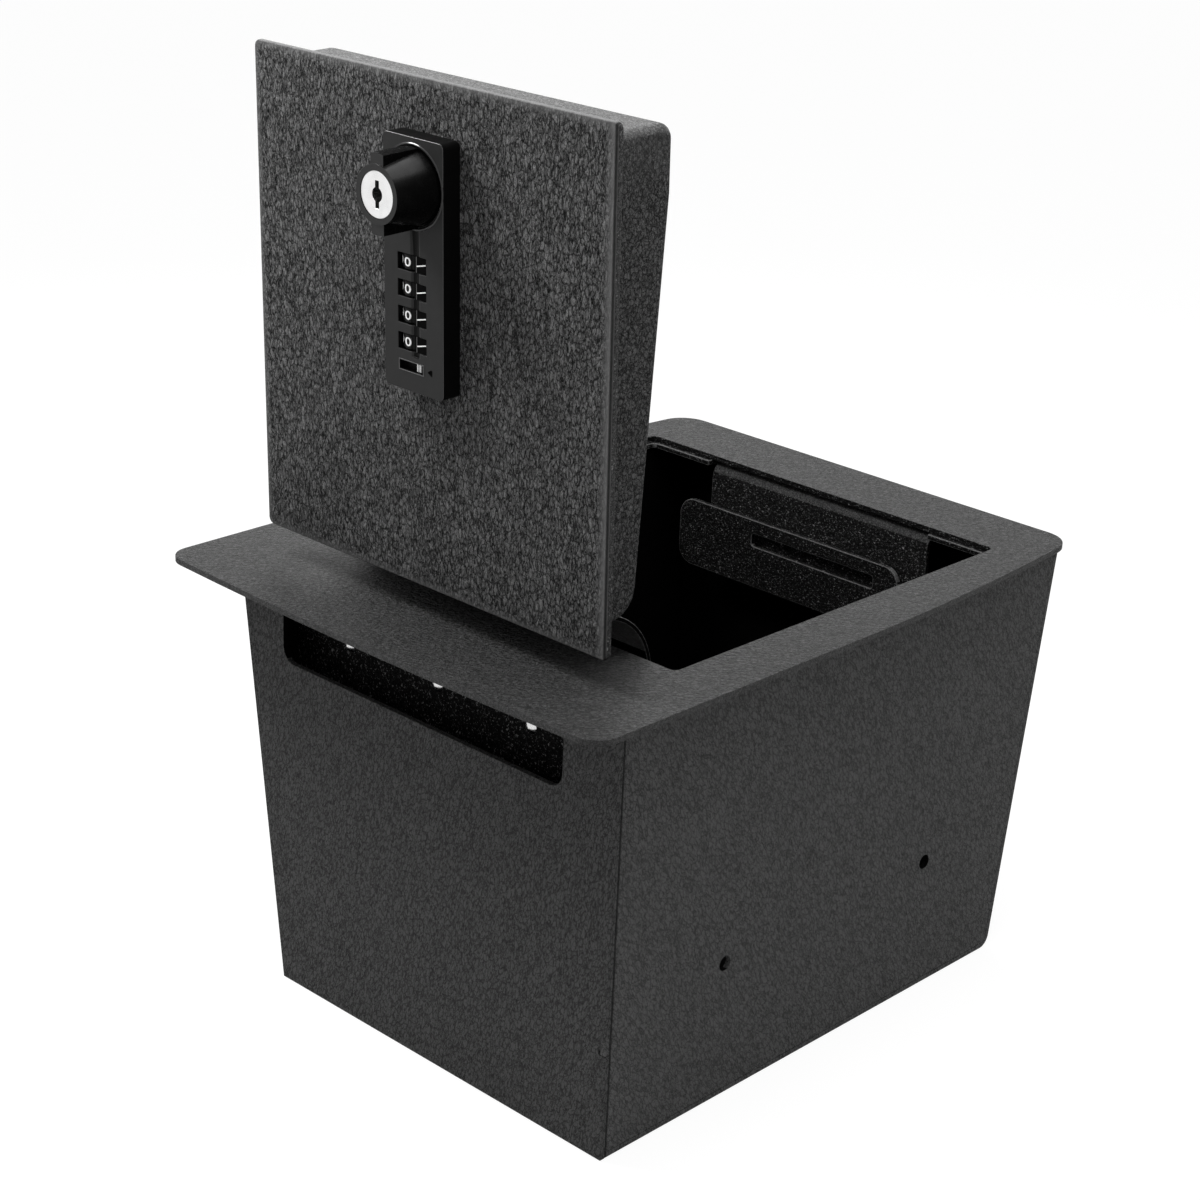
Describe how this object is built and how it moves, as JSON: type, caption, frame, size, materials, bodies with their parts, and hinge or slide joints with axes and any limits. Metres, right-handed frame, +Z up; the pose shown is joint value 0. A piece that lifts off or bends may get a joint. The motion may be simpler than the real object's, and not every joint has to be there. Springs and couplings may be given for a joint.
{
  "type": "vehicle console safe",
  "caption": "Console safe: a tapered sheet steel box under a wide top flange, with a flush lift-up lid that carries a dial lock with a knob and key override.",
  "frame": {"origin": "underside of the base, directly below the centre of the lid opening", "axes": "+Z up, +Y from the hinge side to the latch side, +X to the right seen from the hinge side"},
  "size_m": [0.2665, 0.3352, 0.4302],
  "materials": {
    "coat": "black textured powder coat",
    "lock_black": "satin black",
    "dial_black": "satin",
    "mark_white": "matte",
    "steel": "zinc plated",
    "plug_metal": "nickel plated"
  },
  "bodies": {
    "box": {"body_wrap": "coat", "front_plate": "coat", "right_plate": "coat", "left_plate": "coat", "top_flange": "coat", "lid_ledge": "coat", "strike_plate": "coat", "strike_spacer": "coat", "strike_cover": "coat", "hinge_plate": "coat", "fixed_leaf": "coat", "hinge_rivet_1": "steel", "hinge_rivet_2": "steel", "hinge_rivet_3": "steel", "hinge_pin": "steel", "lid_stop": "coat"},
    "lid": {"lid_plate": "coat", "lid_pan": "coat", "roll_cover": "coat", "moving_leaf": "coat", "leaf_rivet_1": "steel", "leaf_rivet_2": "steel", "leaf_rivet_3": "steel", "lock_plate": "lock_black", "lock_housing": "lock_black", "lock_screw_1": "steel", "lock_screw_2": "steel", "lock_screw_3": "steel", "lock_screw_4": "steel", "index_marks": "mark_white", "dial_axle": "steel"},
    "knob_set": {"knob": "lock_black", "spindle": "steel", "cam": "steel", "cam_screw": "steel"},
    "key": {"key_plug": "plug_metal"},
    "reset": {"reset_slider": "dial_black"},
    "dial_1_body": {"dial_1": "dial_black"},
    "dial_2_body": {"dial_2": "dial_black"},
    "dial_3_body": {"dial_3": "dial_black"},
    "dial_4_body": {"dial_4": "dial_black"}
  },
  "joints": [
    {"name": "lid_hinge", "type": "hinge", "parent": "box", "child": "lid", "pos_m": [0, -0.1329, 0.18995], "axis": [1, 0, 0], "range_deg": [-91.6, 0]},
    {"name": "knob_turn", "type": "hinge", "parent": "lid", "child": "knob_set", "pos_m": [0.0019, -0.17941, 0.38838], "axis": [0, 0.9996, 0.0279], "range_deg": [-90, 0]},
    {"name": "key_turn", "type": "hinge", "parent": "knob_set", "child": "key", "pos_m": [0.0019, -0.17911, 0.38839], "axis": [0, 0.9996, 0.0279], "range_deg": [-90, 0]},
    {"name": "reset_slide", "type": "slide", "parent": "lid", "child": "reset", "axis": [-1, 0, 0], "range_m": [0, 0.0091]},
    {"name": "dial_1_turn", "type": "hinge", "parent": "lid", "child": "dial_1_body", "pos_m": [-0.0023, -0.15053, 0.32506], "axis": [0, -0.0279, 0.9996], "continuous": true},
    {"name": "dial_2_turn", "type": "hinge", "parent": "lid", "child": "dial_2_body", "pos_m": [-0.0023, -0.15084, 0.33606], "axis": [0, -0.0279, 0.9996], "continuous": true},
    {"name": "dial_3_turn", "type": "hinge", "parent": "lid", "child": "dial_3_body", "pos_m": [-0.0023, -0.15114, 0.34705], "axis": [0, -0.0279, 0.9996], "continuous": true},
    {"name": "dial_4_turn", "type": "hinge", "parent": "lid", "child": "dial_4_body", "pos_m": [-0.0023, -0.15145, 0.35805], "axis": [0, -0.0279, 0.9996], "continuous": true}
  ]
}
